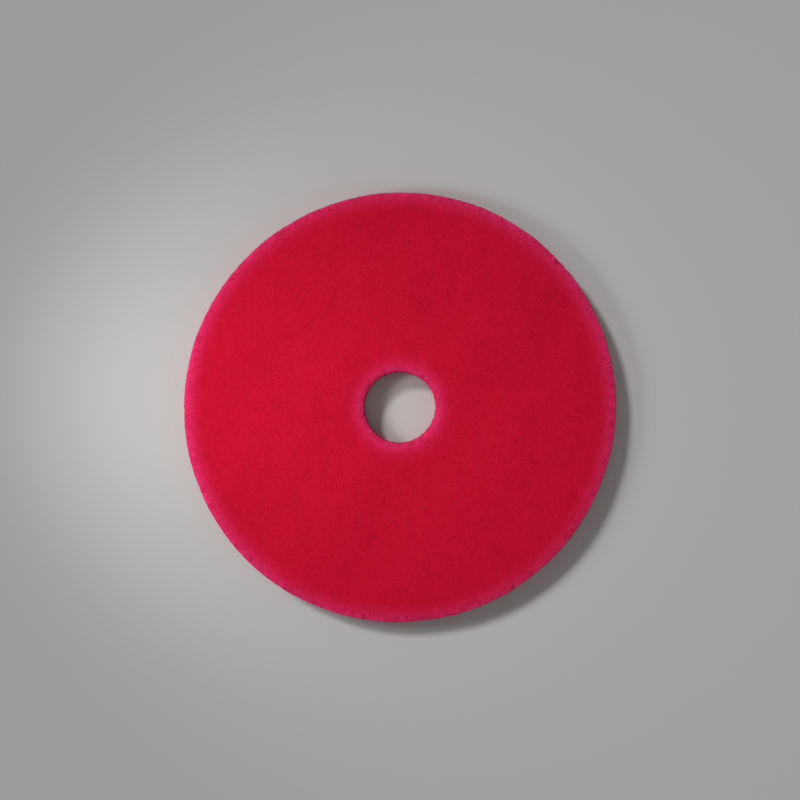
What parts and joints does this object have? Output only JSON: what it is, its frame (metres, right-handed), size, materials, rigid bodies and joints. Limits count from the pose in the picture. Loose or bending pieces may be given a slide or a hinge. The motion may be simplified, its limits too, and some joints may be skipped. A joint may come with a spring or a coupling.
{
  "type": "floor pad",
  "caption": "Round nonwoven fibre floor pad with a centre hole, for buffing hard floors under a rotary floor machine.",
  "frame": {"origin": "middle of the underside, on the pad's axis", "axes": "+Z along the pad's axis, up through the centre hole; X and Y in the plane of the pad, +Y along the web"},
  "size_m": [0.5079, 0.508, 0.025],
  "materials": {
    "coated_fibre": "matte crimson, fine bonded fibre soaked with resin and mild abrasive",
    "core_fibre": "matte crimson, open lofty crimped fibre, a little paler where it is cut"
  },
  "bodies": {
    "root": {"lower_working_face": "coated_fibre", "core_web": "core_fibre", "upper_working_face": "coated_fibre"}
  },
  "joints": []
}
